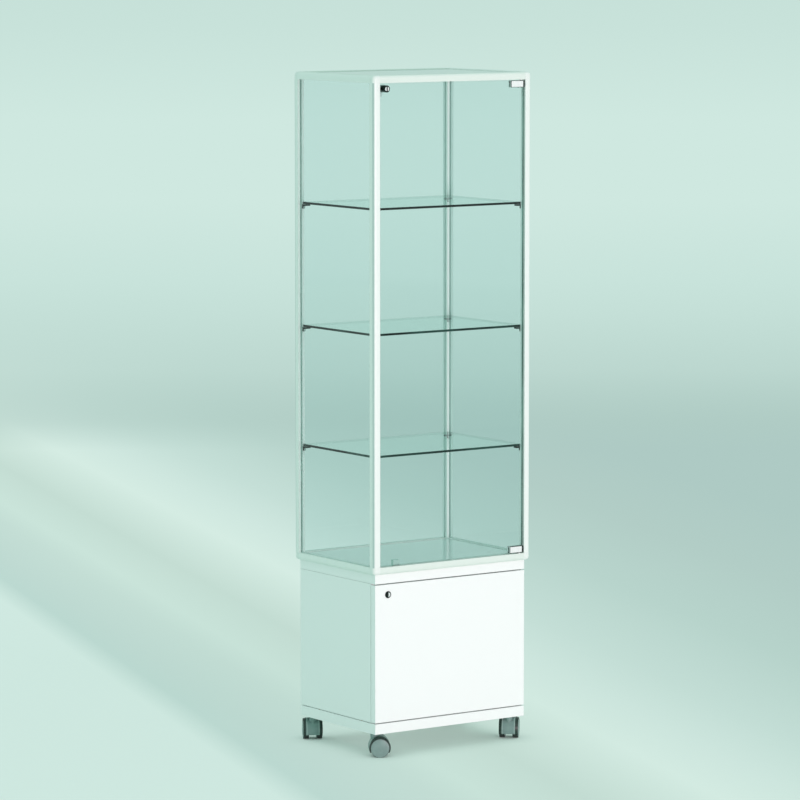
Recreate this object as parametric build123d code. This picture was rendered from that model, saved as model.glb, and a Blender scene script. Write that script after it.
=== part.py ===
from build123d import *
import os

# Millimetres. +Z is up, the floor is z = 0, the front is towards -Y, and the origin lies under the middle
# of the box round the whole object.

# Overall size of the framed showcase
WIDTH = 510.0
DEPTH = 375.0
HEIGHT = 1800.0
LOCK_PROUD = 10.0
CENTRE_Y = LOCK_PROUD / 2
LEFT = -WIDTH / 2
RIGHT = WIDTH / 2
FRONT = CENTRE_Y - DEPTH / 2
BACK = CENTRE_Y + DEPTH / 2

# Aluminium frame bars: square tube with one round outer edge
BAR = 20.0
BAR_WALL = 1.6
BAR_ROUND = 9.0
BAR_HOLLOW_TO = 12.2
SLOT_FROM = 13.4
PLUG_FROM = 2.0
PLUG_TO = 12.0
PLUG_LENGTH = 16.0
FRAME_BOTTOM = 490.5
FRAME_INNER_BOTTOM = FRAME_BOTTOM + BAR
FRAME_INNER_TOP = HEIGHT - BAR

# Glass and panels held in slots of the bars
PANE = 5.0
PANE_CENTRE = 10.0
SLOT_PLAY = 0.4
SLOT_GRIP = 6.0
CORNER_NOTCH = 6.5
TOP_PANEL = 8.0
TOP_PANEL_DROP = 3.0
FLOOR_PANEL = 6.0
FLOOR_PANEL_RISE = 12.5

# Shelves
SHELF = 6.0
SHELF_CENTRES = {"shelf_top": 1451.0, "shelf_middle": 1122.0, "shelf_bottom": 801.0}
SHELF_SIDE_INSET = 16.0
SHELF_END_INSET = 21.0
CLIP_FROM = 13.5
CLIP_TO = 31.0
CLIP_PLATE_TO = 21.0
CLIP_PLATE = 3.0
CLIP_DROP = 11.0
CLIP_REACH = 13.0
CLIP_FOOT = 4.0
PAD = 1.0
PAD_RADIUS = 4.5
CLIP_SCREW_INSET = 17.0
CLIP_SCREW_DROP = 7.5
CLIP_SCREW_RADIUS = 1.5
CLIP_SCREW_HEAD_RADIUS = 2.6
CLIP_SCREW_HEAD = 1.6

# Glass door
DOOR_GAP = 2.5
DOOR_SIDE_GAP = 3.0
DOOR_SETBACK = 4.0
DOOR_LEFT = LEFT + BAR + DOOR_SIDE_GAP
DOOR_RIGHT = RIGHT - BAR - DOOR_SIDE_GAP
DOOR_BOTTOM = FRAME_INNER_BOTTOM + DOOR_GAP
DOOR_TOP = FRAME_INNER_TOP - DOOR_GAP
DOOR_FACE = FRONT + DOOR_SETBACK
DOOR_MID = DOOR_FACE + PANE / 2

# Pivot hinges of the glass door
HINGE_LENGTH = 44.0
HINGE_HEIGHT = 18.0
HINGE_PLATE = 3.0
HINGE_PAD = 1.0
HINGE_CORNER = 1.2
PIVOT_INSET = 8.0
PIVOT_X = DOOR_RIGHT - PIVOT_INSET
PIVOT_RADIUS = 2.5
PIVOT_PLAY = 0.06
PIVOT_DEPTH = 14.0
PIVOT_RISE = 7.5
BUSH_RADIUS = 4.5
BUSH_DEPTH = 8.0
BUSH_FLANGE_RADIUS = 5.5
BUSH_FLANGE = 1.0
HINGE_NOTCH = 17.0
HINGE_SCREW_OFFSETS = (22.0, 37.0)
HINGE_SCREW_RADIUS = 2.0
HINGE_SCREW_HEAD_RADIUS = 3.6
HINGE_SCREW_HEAD = 1.6
GLASS_HOLE_RADIUS = 4.0

# Locks
GLASS_LOCK_X = LEFT + 35.5
GLASS_LOCK_Z = 1765.0
BASE_LOCK_X = -203.0
BASE_LOCK_Z = 435.5
LOCK_RADIUS = 9.3
LOCK_THREAD_RADIUS = 8.0
LOCK_HEAD_ROUND = 1.0
BARREL_RADIUS = 6.0
BARREL_PLAY = 0.06
BARREL_PROUD = 0.6
KEYWAY_WIDTH = 1.6
KEYWAY_HEIGHT = 8.0
KEYWAY_DEPTH = 5.0
CAM_THICKNESS = 2.0
CAM_HALF_WIDTH = 6.0
GLASS_CAM_REACH = 22.0
GLASS_LOCK_BACK = FRONT + BAR + 1.0
LOCK_NUT_RADIUS = 11.0
LOCK_NUT = 4.0
DOOR_STOP_X = (-187.0, -168.0)
DOOR_STOP_HEIGHT = 16.0
DOOR_STOP_DEPTH = 10.0

# Base cupboard
BASE_INSET = 11.0
BASE_LEFT = LEFT + BASE_INSET
BASE_RIGHT = RIGHT - BASE_INSET
BASE_FRONT = FRONT + BASE_INSET
BASE_BACK = BACK - BASE_INSET
BASE_BOTTOM = 65.0
BOTTOM_BOARD = 27.5
TOP_BOARD = 25.0
BASE_FLOOR = BASE_BOTTOM + BOTTOM_BOARD
BASE_CEILING = FRAME_BOTTOM - TOP_BOARD
BASE_SIDE = 18.0
BASE_BACK_PANEL = 16.0
CUPBOARD_DOOR = 19.0
CUPBOARD_SEAM = 3.0
SIDE_SEAM = 2.0
SIDE_FOOT_SEAM = 2.5
SIDE_HEAD_SEAM = 0.6
SIDE_SEAM_DEPTH = 6.0
CUPBOARD_DOOR_MID = BASE_FRONT + CUPBOARD_DOOR / 2
CUPBOARD_PIVOT_X = BASE_RIGHT - 6.0
CUPBOARD_PIN_RADIUS = 3.0
CUPBOARD_PIN_DEPTH = 20.0
CUPBOARD_BUSH_RADIUS = 5.0
CUPBOARD_BUSH_DEPTH = 12.0
BASE_LOCK_PROUD = 2.0
BASE_CAM_REACH = 36.0
BASE_LOCK_BACK = BASE_FRONT + CUPBOARD_DOOR + 5.0
KEEP_HALF_LENGTH = 22.0
KEEP_DEPTH = 9.0
KEEP_PLAY = 1.5
DOWEL_RADIUS = 4.0
DOWEL_HALF_LENGTH = 15.0
DOWEL_OFFSETS = (50.0, 250.0)
BOLT_RADIUS = 2.0
BOLT_HEAD_RADIUS = 3.5
BOLT_HEAD = 3.0
BOLT_X = 150.0
BOLT_INSET = 16.8
BOLT_TIP = 7.0
BOLT_RECESS = 12.0
BOLT_RECESS_PLAY = 0.3

# Twin-wheel castors
CASTOR_X = 221.5
CASTOR_FRONT_Y = -134.0
CASTOR_BACK_Y = 157.0
CASTOR_TRAIL = 14.0
CASTOR_TURNS = {"front_left": 60.0, "front_right": 138.0, "back_left": 150.0, "back_right": 25.0}
WHEEL_RADIUS = 25.0
WHEEL_INNER = 10.0
WHEEL_OUTER = 28.0
WHEEL_DOME_RADIUS = 126.0
WHEEL_EDGE_ROUND = 2.5
AXLE_RADIUS = 3.0
AXLE_HALF = 23.0
AXLE_PLAY = 0.06
HOOD_INNER = 26.0
HOOD_OUTER = 29.0
HOOD_CROWN_RADIUS = 27.0
HOOD_CROWN_LIFT = 5.0
HOOD_HALF_WIDTH = 26.0
HOOD_FLANK = 8.0
HOOD_FLANK_DROP = 2.2
HOOD_SKIRT = 13.0
WEB_HALF_WIDTH = 9.0
WEB_RADIUS = 12.0
BOSS_RADIUS = 10.0
BOSS_TOP = 61.5
STEM_FLANGE = 3.0
STEM_FLANGE_RADIUS = 14.0
PINTLE_RADIUS = 5.0
PINTLE_PLAY = 0.06
PINTLE_BOTTOM = 38.0
STEM_RADIUS = 4.0
STEM_HEIGHT = 20.0


def block(x, y, z):
    """A cuboid between two limits on each axis."""
    size = [abs(pair[1] - pair[0]) for pair in (x, y, z)]
    middle = [(pair[1] + pair[0]) / 2 for pair in (x, y, z)]
    return Pos(*middle) * Box(*size)


def rod(direction, centre, radius, start, end):
    """A cylinder along one axis; centre gives its two other coordinates in X, Y, Z order."""
    length = abs(end - start)
    middle = (start + end) / 2
    body = Cylinder(radius, length)
    if direction == "x":
        return Pos(middle, centre[0], centre[1]) * Rot(0, 90, 0) * body
    if direction == "y":
        return Pos(centre[0], middle, centre[1]) * Rot(90, 0, 0) * body
    return Pos(centre[0], centre[1], middle) * body


def round_edges_near(solid, point, radius, count):
    """Rounds the edges whose middles lie nearest to a point."""
    target = Vector(*point)
    nearest = solid.edges().sort_by(lambda edge: (edge.center() - target).length)[:count]
    return fillet(nearest, radius)


def bar(direction, start, end, edge, inward, slots):
    """A hollow bar. edge is its round outer edge in the two other axes, inward points to its inner side.

    Each slot is (the axis that it opens along, distance of its middle from the outer face, width).
    """
    def piece(a, b, along):
        if direction == "x":
            return block(along, a, b)
        if direction == "y":
            return block(a, along, b)
        return block(a, b, along)

    def across(axis, distance):
        return edge[axis] + inward[axis] * distance

    def corner(distance):
        middle = (start + end) / 2
        spot = [across(0, distance), across(1, distance)]
        spot.insert("xyz".index(direction), middle)
        return spot

    outer = piece((across(0, 0), across(0, BAR)), (across(1, 0), across(1, BAR)), (start, end))
    outer = round_edges_near(outer, corner(0), BAR_ROUND, 1)
    hollow = [(across(axis, BAR_WALL), across(axis, BAR_HOLLOW_TO)) for axis in (0, 1)]
    inner = piece(*hollow, (start, end))
    inner = round_edges_near(inner, corner(BAR_WALL), BAR_ROUND - BAR_WALL, 1)
    result = outer - inner
    for axis, middle, width in slots:
        opening = (across(axis, SLOT_FROM), across(axis, BAR + 1))
        band = (across(1 - axis, middle - width / 2), across(1 - axis, middle + width / 2))
        pair = (opening, band) if axis == 0 else (band, opening)
        result -= piece(pair[0], pair[1], (start, end))
    return result


def corner_joint(x, y, z, x_in, y_in, z_in):
    """A cast corner with a plug into each of the three bars that meet there."""
    cube = block((x, x + x_in * BAR), (y, y + y_in * BAR), (z, z + z_in * BAR))
    cube = round_edges_near(cube, (x, y, z), BAR_ROUND, 3)
    ends = (x, y, z)
    signs = (x_in, y_in, z_in)
    for axis in range(3):
        limits = [(ends[i] + signs[i] * PLUG_FROM, ends[i] + signs[i] * PLUG_TO) for i in range(3)]
        limits[axis] = (ends[axis] + signs[axis] * BAR, ends[axis] + signs[axis] * (BAR + PLUG_LENGTH))
        plug = block(*limits)
        spot = [limits[i][0] for i in range(3)]
        spot[axis] = (limits[axis][0] + limits[axis][1]) / 2
        cube += round_edges_near(plug, spot, BAR_ROUND - PLUG_FROM, 1)
    return cube


def notched(x, y, z, thin):
    """A thin sheet whose four corners are cut away round the corner joints."""
    limits = (x, y, z)
    sheet = block(*limits)
    wide = [axis for axis in range(3) if axis != thin]
    for first in (0, 1):
        for second in (0, 1):
            cut = list(limits)
            for axis, side in zip(wide, (first, second)):
                low, high = sorted(limits[axis])
                cut[axis] = (low, low + CORNER_NOTCH) if side == 0 else (high - CORNER_NOTCH, high)
            sheet -= block(*cut)
    return sheet


def lock_body(x, z, face, back, nut_face):
    """The fixed sleeve of a cam lock, with a turned head in front and a threaded neck behind."""
    head = rod("y", (x, z), LOCK_RADIUS, face, nut_face)
    front_rim = head.edges().filter_by(GeomType.CIRCLE).sort_by(Axis.Y)[0]
    head = fillet(front_rim, LOCK_HEAD_ROUND)
    neck = rod("y", (x, z), LOCK_THREAD_RADIUS, nut_face, back)
    return head + neck - rod("y", (x, z), BARREL_RADIUS + BARREL_PLAY, face - 1, back + 1)


def lock_barrel(x, z, face, back):
    """The turning plug of a lock, with its upright keyway."""
    plug = rod("y", (x, z), BARREL_RADIUS, face - BARREL_PROUD, back)
    key = block(
        (x - KEYWAY_WIDTH / 2, x + KEYWAY_WIDTH / 2),
        (face - BARREL_PROUD - 1, face + KEYWAY_DEPTH),
        (z - KEYWAY_HEIGHT / 2, z + KEYWAY_HEIGHT / 2),
    )
    return plug - key


def cam(x, z, back, reach, direction):
    """The flat cam on the back end of a lock barrel; direction is (x, z)."""
    disc = rod("y", (x, z), CAM_HALF_WIDTH, back, back + CAM_THICKNESS)
    length = reach - CAM_HALF_WIDTH
    tip = (x + direction[0] * length, z + direction[1] * length)
    end = rod("y", tip, CAM_HALF_WIDTH, back, back + CAM_THICKNESS)
    side = CAM_HALF_WIDTH
    x_limits = sorted((x - side * abs(direction[1]), tip[0] + side * abs(direction[1])))
    z_limits = sorted((z - side * abs(direction[0]), tip[1] + side * abs(direction[0])))
    arm = block(x_limits, (back, back + CAM_THICKNESS), z_limits)
    return disc + arm + end


def castor_place(x, y, turn):
    """Puts a castor drawn round its own swivel axis, with its axle along X, in its place."""
    return Pos(x, y, 0) * Rot(0, 0, turn)


def flanked(centre, radius):
    """A drum along X that narrows on each flank by a shallow cone."""
    panel = HOOD_HALF_WIDTH - HOOD_FLANK
    drum = rod("x", centre, radius, -panel, panel)
    for side in (-1, 1):
        cone = Cone(radius, radius - HOOD_FLANK_DROP, HOOD_FLANK)
        drum += Pos(side * (panel + HOOD_FLANK / 2), *centre) * Rot(0, side * 90, 0) * cone
    return drum


def castor_hood():
    """The moulded hood: a guard over both wheels, the web between them and the swivel boss."""
    middle = (-CASTOR_TRAIL, WHEEL_RADIUS)
    guard = flanked(middle, HOOD_OUTER)
    raised = (-CASTOR_TRAIL, WHEEL_RADIUS + HOOD_CROWN_LIFT)
    guard += flanked(raised, HOOD_CROWN_RADIUS)
    guard -= rod("x", middle, HOOD_INNER, -HOOD_HALF_WIDTH - 1, HOOD_HALF_WIDTH + 1)
    reach = HOOD_OUTER + 1
    y_span = (-CASTOR_TRAIL - reach, -CASTOR_TRAIL + reach)
    guard -= block((-HOOD_HALF_WIDTH - 1, HOOD_HALF_WIDTH + 1), y_span, (-reach, HOOD_SKIRT))
    web = rod("x", middle, HOOD_INNER + 1, -WEB_HALF_WIDTH, WEB_HALF_WIDTH)
    web -= block((-HOOD_HALF_WIDTH, HOOD_HALF_WIDTH), y_span, (-reach, HOOD_SKIRT))
    web += rod("x", middle, WEB_RADIUS, -WEB_HALF_WIDTH, WEB_HALF_WIDTH)
    boss = rod("z", (0, 0), BOSS_RADIUS, WHEEL_RADIUS + HOOD_INNER - 1, BOSS_TOP)
    boss += rod("z", (0, 0), WEB_HALF_WIDTH, PINTLE_BOTTOM - 2, BOSS_TOP)
    hood = guard + web + boss
    hood -= rod("z", (0, 0), PINTLE_RADIUS + PINTLE_PLAY, PINTLE_BOTTOM, BOSS_TOP + 1)
    hood -= rod("x", middle, AXLE_RADIUS, -WHEEL_OUTER, WHEEL_OUTER)
    return hood


def castor_wheel(side):
    """One wheel with a domed outer face, rounded at its edge, and a blind bore for the axle."""
    tread = rod("x", (0, 0), WHEEL_RADIUS, WHEEL_INNER, WHEEL_OUTER)
    wheel = tread & (Pos(WHEEL_OUTER - WHEEL_DOME_RADIUS, 0, 0) * Sphere(WHEEL_DOME_RADIUS))
    rims = wheel.edges().filter_by(GeomType.CIRCLE).sort_by(Axis.X)
    wheel = fillet(rims[-1], WHEEL_EDGE_ROUND)
    wheel -= rod("x", (0, 0), AXLE_RADIUS + AXLE_PLAY, WHEEL_INNER - 1, AXLE_HALF + 1)
    turned = wheel if side > 0 else Rot(0, 0, 180) * wheel
    return Pos(0, -CASTOR_TRAIL, WHEEL_RADIUS) * turned


nodes = {}

# Frame posts between the corner joints; side panes stand in slots on the posts' inner faces along Y, and
# the back pane in slots along X
pane_slot = PANE + SLOT_PLAY
for name, x, y, x_in, y_in in (
    ("post_front_left", LEFT, FRONT, 1, 1),
    ("post_front_right", RIGHT, FRONT, -1, 1),
    ("post_back_left", LEFT, BACK, 1, -1),
    ("post_back_right", RIGHT, BACK, -1, -1),
):
    slots = [(1, PANE_CENTRE, pane_slot)]
    if y == BACK:
        slots.append((0, PANE_CENTRE, pane_slot))
    nodes[name] = bar("z", FRAME_INNER_BOTTOM, FRAME_INNER_TOP, (x, y), (x_in, y_in), slots)

# Frame rails: each has a slot for the top or floor panel, and all but the front ones a slot for a pane
top_slot = (TOP_PANEL_DROP + TOP_PANEL / 2, TOP_PANEL + SLOT_PLAY)
floor_slot = (FLOOR_PANEL_RISE + FLOOR_PANEL / 2, FLOOR_PANEL + SLOT_PLAY)
for name, z, z_in, panel in (
    ("top_rails", HEIGHT, -1, top_slot),
    ("bottom_rails", FRAME_BOTTOM, 1, floor_slot),
):
    rails = []
    for y, y_in in ((FRONT, 1), (BACK, -1)):
        slots = [(0, *panel)]
        if y == BACK:
            slots.append((1, PANE_CENTRE, pane_slot))
        rails.append(bar("x", LEFT + BAR, RIGHT - BAR, (y, z), (y_in, z_in), slots))
    for x, x_in in ((LEFT, 1), (RIGHT, -1)):
        slots = [(0, *panel), (1, PANE_CENTRE, pane_slot)]
        rails.append(bar("y", FRONT + BAR, BACK - BAR, (x, z), (x_in, z_in), slots))
    nodes[name] = rails

nodes["corner_joints"] = [
    corner_joint(x, y, z, x_in, y_in, z_in)
    for z, z_in in ((HEIGHT, -1), (FRAME_BOTTOM, 1))
    for y, y_in in ((FRONT, 1), (BACK, -1))
    for x, x_in in ((LEFT, 1), (RIGHT, -1))
]

# Top and floor panels reach into the slots of the rails
panel_x = (LEFT + BAR - SLOT_GRIP, RIGHT - BAR + SLOT_GRIP)
panel_y = (FRONT + BAR - SLOT_GRIP, BACK - BAR + SLOT_GRIP)
top_panel_z = HEIGHT - TOP_PANEL_DROP
nodes["top_panel"] = notched(panel_x, panel_y, (top_panel_z - TOP_PANEL, top_panel_z), 2)
floor_panel_z = FRAME_BOTTOM + FLOOR_PANEL_RISE
nodes["showcase_floor"] = notched(panel_x, panel_y, (floor_panel_z, floor_panel_z + FLOOR_PANEL), 2)

# Fixed panes
pane_z = (FRAME_INNER_BOTTOM - SLOT_GRIP, FRAME_INNER_TOP + SLOT_GRIP)
side_middle = RIGHT - PANE_CENTRE
for name, middle in (("left_pane", -side_middle), ("right_pane", side_middle)):
    nodes[name] = notched((middle - PANE / 2, middle + PANE / 2), panel_y, pane_z, 0)
back_middle = BACK - PANE_CENTRE
nodes["back_pane"] = notched(panel_x, (back_middle - PANE / 2, back_middle + PANE / 2), pane_z, 1)

# Shelves on rubber pads, on angle clips screwed to the posts
shelf_x = (LEFT + SHELF_SIDE_INSET, RIGHT - SHELF_SIDE_INSET)
shelf_y = (FRONT + SHELF_END_INSET, BACK - SHELF_END_INSET)
clips = []
pads = []
clip_screws = []
for name, centre in SHELF_CENTRES.items():
    nodes[name] = block(shelf_x, shelf_y, (centre - SHELF / 2, centre + SHELF / 2))
    foot_top = centre - SHELF / 2 - PAD
    for x, x_in in ((LEFT, 1), (RIGHT, -1)):
        for y, y_in in ((FRONT, 1), (BACK, -1)):
            foot_x = (x + x_in * CLIP_FROM, x + x_in * CLIP_TO)
            plate_x = (x + x_in * CLIP_FROM, x + x_in * CLIP_PLATE_TO)
            face = y + y_in * BAR
            foot = block(foot_x, (face, face + y_in * CLIP_REACH), (foot_top - CLIP_FOOT, foot_top))
            plate = block(plate_x, (face, face + y_in * CLIP_PLATE), (foot_top - CLIP_DROP, foot_top))
            spot = (x + x_in * CLIP_SCREW_INSET, foot_top - CLIP_SCREW_DROP)
            hole_end = face - y_in * BAR_WALL
            plate_end = face + y_in * CLIP_PLATE
            clips.append(foot + plate - rod("y", spot, CLIP_SCREW_RADIUS, face, plate_end))
            screw = rod("y", spot, CLIP_SCREW_RADIUS, hole_end, plate_end)
            screw += rod("y", spot, CLIP_SCREW_HEAD_RADIUS, plate_end, plate_end + y_in * CLIP_SCREW_HEAD)
            clip_screws.append(screw)
            pad_x = x + x_in * (CLIP_TO - PAD_RADIUS - 1)
            pad_y = face + y_in * (CLIP_REACH - PAD_RADIUS - 1)
            pads.append(rod("z", (pad_x, pad_y), PAD_RADIUS, foot_top, foot_top + PAD))
            side = "left" if x_in > 0 else "right"
            end = "front" if y_in > 0 else "back"
            nodes[f"post_{end}_{side}"] -= rod("y", spot, CLIP_SCREW_RADIUS, hole_end - y_in, face + y_in)
nodes["shelf_clips"] = clips
nodes["shelf_pads"] = pads
nodes["shelf_clip_screws"] = clip_screws

# Clear block that the glass door closes against, on the front bottom rail
stop_y = (DOOR_FACE + PANE + 0.3, DOOR_FACE + PANE + DOOR_STOP_DEPTH)
stop_z = (FRAME_INNER_BOTTOM, FRAME_INNER_BOTTOM + DOOR_STOP_HEIGHT)
nodes["door_stop"] = block(DOOR_STOP_X, stop_y, stop_z)

# Glass door with a notch at each pivot and holes for the hinge screws and the lock
door = block((DOOR_LEFT, DOOR_RIGHT), (DOOR_FACE, DOOR_FACE + PANE), (DOOR_BOTTOM, DOOR_TOP))
hinge_x = (DOOR_RIGHT - HINGE_LENGTH, DOOR_RIGHT)
plate_front = DOOR_FACE - HINGE_PAD - HINGE_PLATE
plate_back = DOOR_FACE + PANE + HINGE_PAD + HINGE_PLATE
outer_plates = []
inner_plates = []
hinge_pads = []
hinge_screws = []
hinge_pins = []
bushes = []
for edge_z, into in ((DOOR_TOP, -1), (DOOR_BOTTOM, 1)):
    far_z = edge_z + into * HINGE_HEIGHT
    mid_z = (edge_z + far_z) / 2
    door -= block((DOOR_RIGHT - HINGE_NOTCH, DOOR_RIGHT + 1), (DOOR_FACE - 1, DOOR_FACE + PANE + 1),
                  (edge_z - into, far_z + into))
    outer = block(hinge_x, (plate_front, plate_front + HINGE_PLATE), (edge_z, far_z))
    outer = chamfer(outer.faces().sort_by(Axis.Y)[0].edges(), HINGE_CORNER)
    inner = block(hinge_x, (plate_back - HINGE_PLATE, plate_back), (edge_z, far_z))
    core_x = (DOOR_RIGHT - HINGE_NOTCH + 1, DOOR_RIGHT)
    inner += block(core_x, (plate_front + HINGE_PLATE, plate_back - HINGE_PLATE), (edge_z, far_z))
    bore_z = edge_z + into * PIVOT_DEPTH
    inner -= rod("z", (PIVOT_X, DOOR_MID), PIVOT_RADIUS, edge_z - into, bore_z)
    for offset in HINGE_SCREW_OFFSETS:
        spot = (DOOR_RIGHT - offset, mid_z)
        shank_front = plate_front + HINGE_PLATE / 2
        door -= rod("y", spot, GLASS_HOLE_RADIUS, DOOR_FACE - 1, DOOR_FACE + PANE + 1)
        outer -= rod("y", spot, HINGE_SCREW_RADIUS, shank_front, plate_front + HINGE_PLATE + 1)
        inner -= rod("y", spot, HINGE_SCREW_RADIUS, plate_back - HINGE_PLATE - 1, plate_back + 1)
        screw = rod("y", spot, HINGE_SCREW_RADIUS, shank_front, plate_back)
        screw += rod("y", spot, HINGE_SCREW_HEAD_RADIUS, plate_back, plate_back + HINGE_SCREW_HEAD)
        hinge_screws.append(screw)
    outer_plates.append(outer)
    inner_plates.append(inner)
    pad_x = (hinge_x[0], DOOR_RIGHT - HINGE_NOTCH)
    for pad_front in (DOOR_FACE - HINGE_PAD, DOOR_FACE + PANE):
        pad = block(pad_x, (pad_front, pad_front + HINGE_PAD), (edge_z, far_z))
        for offset in HINGE_SCREW_OFFSETS:
            pad -= rod("y", (DOOR_RIGHT - offset, mid_z), GLASS_HOLE_RADIUS, pad_front - 1, pad_front + 2)
        hinge_pads.append(pad)
    rail_z = edge_z - into * DOOR_GAP
    pin_end = rail_z - into * PIVOT_RISE
    hinge_pins.append(rod("z", (PIVOT_X, DOOR_MID), PIVOT_RADIUS, bore_z, pin_end))
    bush = rod("z", (PIVOT_X, DOOR_MID), BUSH_RADIUS, rail_z, rail_z - into * BUSH_DEPTH)
    bush += rod("z", (PIVOT_X, DOOR_MID), BUSH_FLANGE_RADIUS, rail_z + into * BUSH_FLANGE, rail_z)
    reach = (rail_z + into * 2 * BUSH_FLANGE, rail_z - into * (BUSH_DEPTH + 1))
    bush -= rod("z", (PIVOT_X, DOOR_MID), PIVOT_RADIUS + PIVOT_PLAY, *reach)
    bushes.append(bush)
    rails = "top_rails" if into < 0 else "bottom_rails"
    hole = rod("z", (PIVOT_X, DOOR_MID), BUSH_RADIUS, rail_z + into, rail_z - into * BUSH_DEPTH)
    nodes[rails][0] -= hole

# Lock of the glass door, clamped in a hole of the glass by its nut; its cam hangs when unlocked
glass_lock_face = FRONT - LOCK_PROUD + BARREL_PROUD
glass_spot = (GLASS_LOCK_X, GLASS_LOCK_Z)
door -= rod("y", glass_spot, LOCK_THREAD_RADIUS, DOOR_FACE - 1, DOOR_FACE + PANE + 1)
nodes["glass_door_pane"] = door
nodes["hinge_outer_plates"] = outer_plates
nodes["hinge_inner_plates"] = inner_plates
nodes["hinge_glass_pads"] = hinge_pads
nodes["hinge_screws"] = hinge_screws
nodes["hinge_pins"] = hinge_pins
nodes["glass_lock_sleeve"] = lock_body(*glass_spot, glass_lock_face, GLASS_LOCK_BACK, DOOR_FACE)
nut_face = DOOR_FACE + PANE
nut = extrude(Plane.XZ.offset(-nut_face) * RegularPolygon(LOCK_NUT_RADIUS, 6), -LOCK_NUT)
nut = Pos(GLASS_LOCK_X, 0, GLASS_LOCK_Z) * nut
nut -= rod("y", glass_spot, LOCK_THREAD_RADIUS, nut_face - 1, nut_face + LOCK_NUT + 1)
nodes["glass_lock_nut"] = nut
nodes["glass_lock_barrel"] = lock_barrel(*glass_spot, glass_lock_face, GLASS_LOCK_BACK + 0.3)
nodes["glass_lock_cam"] = cam(*glass_spot, GLASS_LOCK_BACK + 0.3, GLASS_CAM_REACH, (0, -1))

# Base cupboard boards
base_x = (BASE_LEFT, BASE_RIGHT)
base_y = (BASE_FRONT, BASE_BACK)
top_board = block(base_x, base_y, (BASE_CEILING, FRAME_BOTTOM))
bottom_board = block(base_x, base_y, (BASE_BOTTOM, BASE_FLOOR))
side_y = (BASE_FRONT + CUPBOARD_DOOR + SIDE_SEAM, BASE_BACK)
side_z = (BASE_FLOOR, BASE_CEILING)
side_seams = ((BASE_FLOOR, BASE_FLOOR + SIDE_FOOT_SEAM), (BASE_CEILING - SIDE_HEAD_SEAM, BASE_CEILING))
side_boards = {}
for name, x, x_in in (("base_left_side", BASE_LEFT, 1), ("base_right_side", BASE_RIGHT, -1)):
    side_board = block((x, x + x_in * BASE_SIDE), side_y, side_z)
    for seam in side_seams:
        side_board -= block((x, x + x_in * SIDE_SEAM_DEPTH), side_y, seam)
    side_boards[name] = side_board
nodes["base_back"] = block(
    (BASE_LEFT + BASE_SIDE, BASE_RIGHT - BASE_SIDE),
    (BASE_BACK - BASE_BACK_PANEL, BASE_BACK),
    (BASE_FLOOR, BASE_CEILING),
)

# Dowels join the side boards to the top and bottom boards
dowels = []
dowel_x = BASE_RIGHT - BASE_SIDE / 2
for name, x in (("base_left_side", -dowel_x), ("base_right_side", dowel_x)):
    for offset in DOWEL_OFFSETS:
        for z in (BASE_FLOOR, BASE_CEILING):
            spot = (x, side_y[0] + offset)
            dowel = rod("z", spot, DOWEL_RADIUS, z - DOWEL_HALF_LENGTH, z + DOWEL_HALF_LENGTH)
            dowels.append(dowel)
            side_boards[name] -= dowel
            top_board -= dowel
            bottom_board -= dowel
nodes.update(side_boards)
nodes["base_dowels"] = dowels

# Bolts from recesses in the underside of the base's top board hold the frame's front and back rails
bolts = []
seat = BASE_CEILING + BOLT_RECESS
for x in (-BOLT_X, BOLT_X):
    for index, y in ((0, FRONT + BOLT_INSET), (1, BACK - BOLT_INSET)):
        shank = rod("z", (x, y), BOLT_RADIUS, seat, FRAME_BOTTOM + BOLT_TIP)
        recess = rod("z", (x, y), BOLT_HEAD_RADIUS + BOLT_RECESS_PLAY, BASE_CEILING - 1, seat)
        top_board -= shank + recess
        nodes["bottom_rails"][index] -= shank
        bolts.append(shank + rod("z", (x, y), BOLT_HEAD_RADIUS, seat - BOLT_HEAD, seat))
nodes["frame_bolts"] = bolts

# Cupboard door on pivot pins in bushes, and its lock; the cam turns up into a keep in the top board
door_z = (BASE_FLOOR + CUPBOARD_SEAM, BASE_CEILING - CUPBOARD_SEAM)
cupboard_door = block(base_x, (BASE_FRONT, BASE_FRONT + CUPBOARD_DOOR), door_z)
cupboard_pins = []
for edge_z, into, board_z in ((door_z[0], 1, BASE_FLOOR), (door_z[1], -1, BASE_CEILING)):
    spot = (CUPBOARD_PIVOT_X, CUPBOARD_DOOR_MID)
    pin_start = edge_z + into * CUPBOARD_PIN_DEPTH
    pin_end = board_z - into * (CUPBOARD_BUSH_DEPTH - 2)
    pin = rod("z", spot, CUPBOARD_PIN_RADIUS, pin_start, pin_end)
    cupboard_pins.append(pin)
    cupboard_door -= pin
    socket = rod("z", spot, CUPBOARD_BUSH_RADIUS, board_z, board_z - into * CUPBOARD_BUSH_DEPTH)
    bottom_board -= socket
    top_board -= socket
    bore_span = (board_z + into, board_z - into * (CUPBOARD_BUSH_DEPTH - 1))
    bore = rod("z", spot, CUPBOARD_PIN_RADIUS + PIVOT_PLAY, *bore_span)
    bushes.append(socket - bore)
nodes["pivot_bushes"] = bushes
nodes["cupboard_pivot_pins"] = cupboard_pins
base_spot = (BASE_LOCK_X, BASE_LOCK_Z)
base_lock_face = BASE_FRONT - BASE_LOCK_PROUD
cupboard_door -= rod("y", base_spot, LOCK_THREAD_RADIUS, BASE_FRONT - 1, BASE_FRONT + CUPBOARD_DOOR + 1)
nodes["cupboard_door"] = cupboard_door
nodes["cupboard_lock_sleeve"] = lock_body(*base_spot, base_lock_face, BASE_LOCK_BACK, BASE_FRONT)
nodes["cupboard_lock_barrel"] = lock_barrel(*base_spot, base_lock_face, BASE_LOCK_BACK + 0.3)
cam_back = BASE_LOCK_BACK + 0.3
nodes["cupboard_lock_cam"] = cam(*base_spot, cam_back, BASE_CAM_REACH, (1, 0))
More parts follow.
